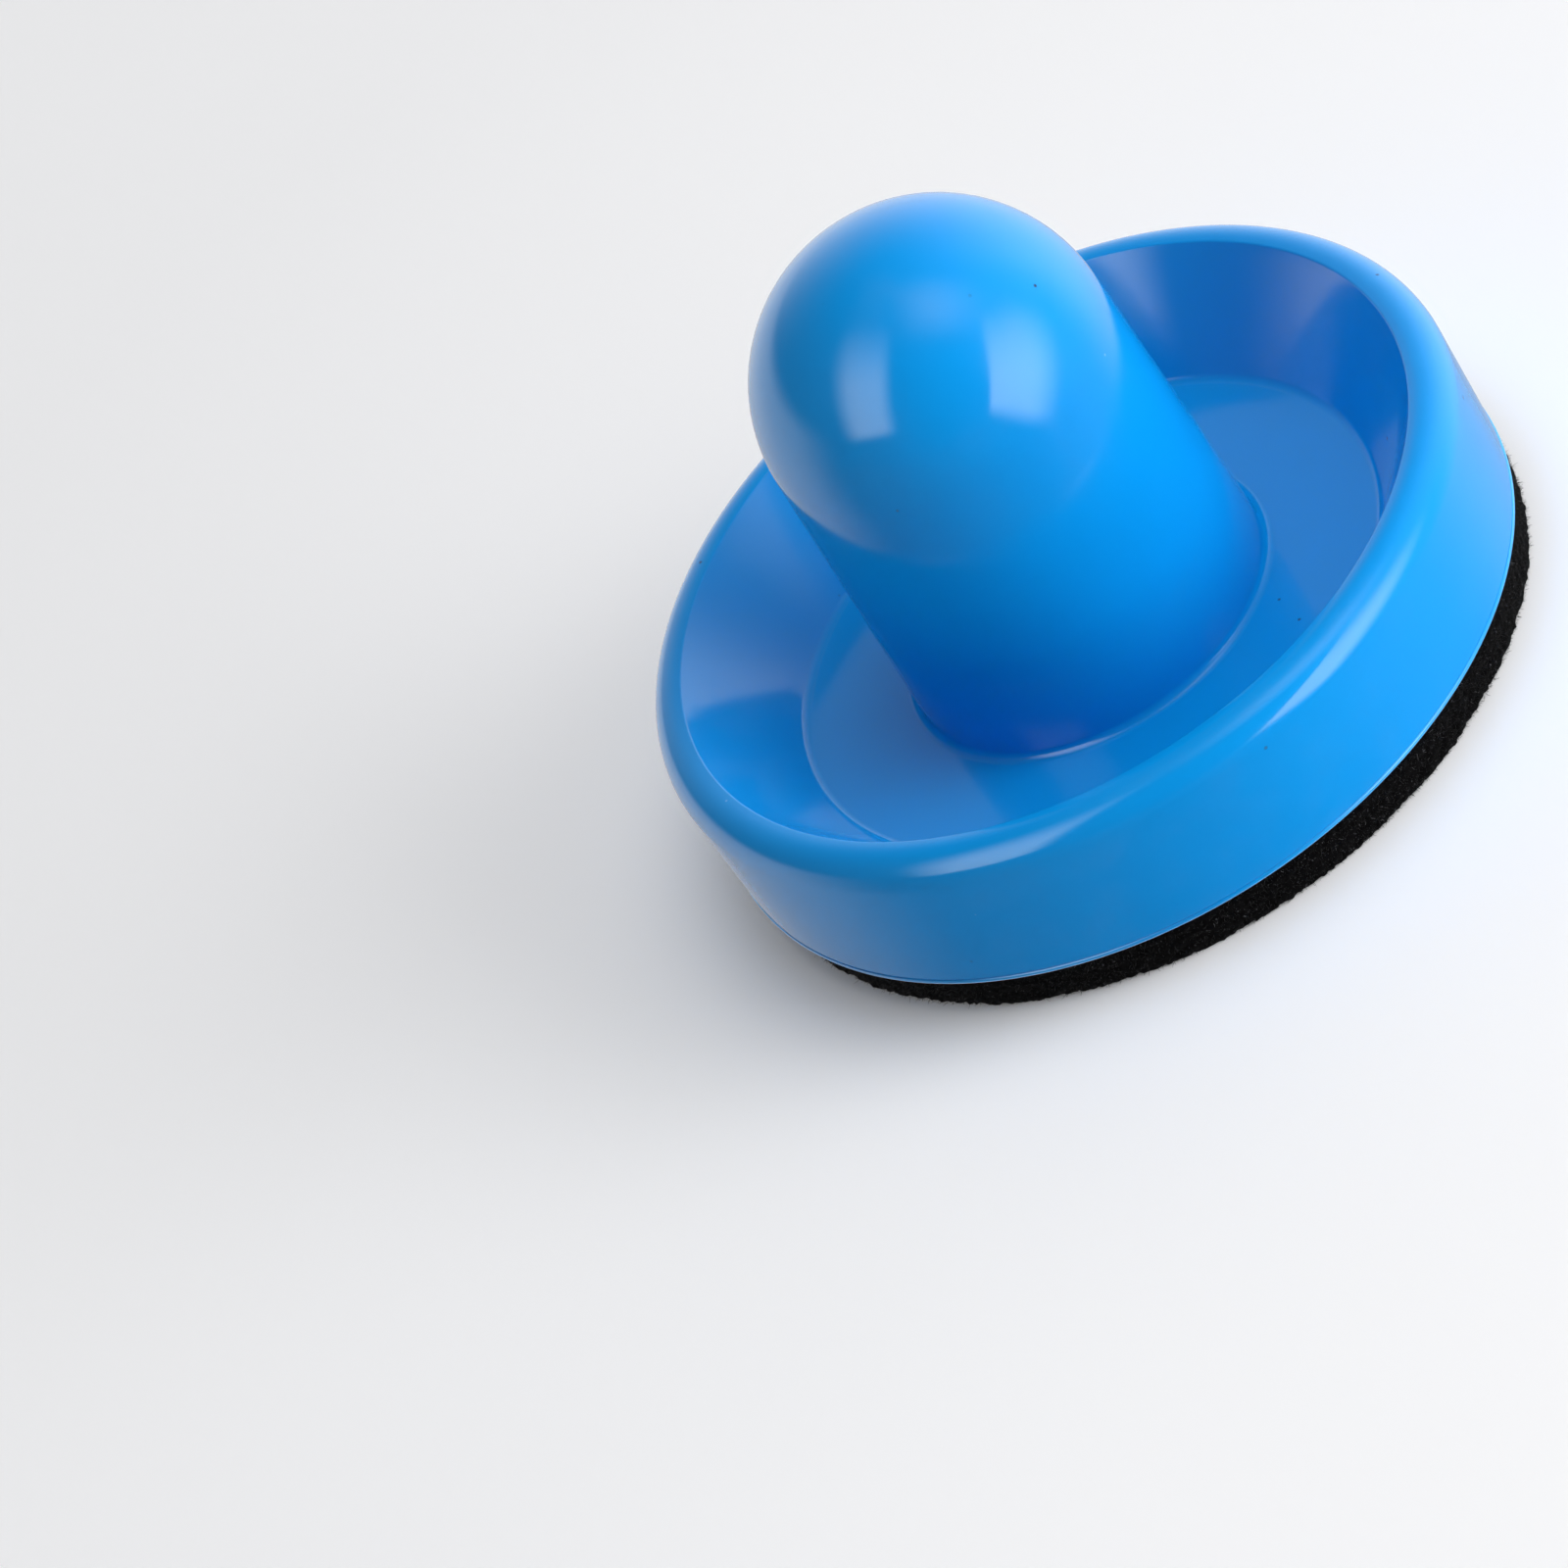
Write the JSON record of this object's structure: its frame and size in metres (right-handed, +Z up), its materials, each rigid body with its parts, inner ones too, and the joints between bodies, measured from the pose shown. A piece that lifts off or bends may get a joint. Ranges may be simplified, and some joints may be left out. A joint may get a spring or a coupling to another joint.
{
  "type": "air hockey striker",
  "caption": "Round air hockey striker: a glossy hollow moulded body with a domed grip standing in a finger bowl, on a felt pad.",
  "frame": {"origin": "on the axis of the round body, at the underside of the felt pad", "axes": "+Z up along the body's axis, from the felt to the dome of the grip; +X to the right in the picture"},
  "size_m": [0.0966, 0.0966, 0.0673],
  "materials": {
    "body_plastic": "glossy injection-moulded ABS, azure blue, a few fine scuffs",
    "plate_plastic": "the body's azure blue plastic, its edge polished",
    "adhesive": "thin double-sided adhesive film, translucent cream",
    "felt": "black needled felt, cut edge with loose fibres"
  },
  "bodies": {
    "root": {"striker_body": "body_plastic", "base_plate": "plate_plastic", "adhesive_film": "adhesive", "felt_pad": "felt"}
  },
  "joints": []
}
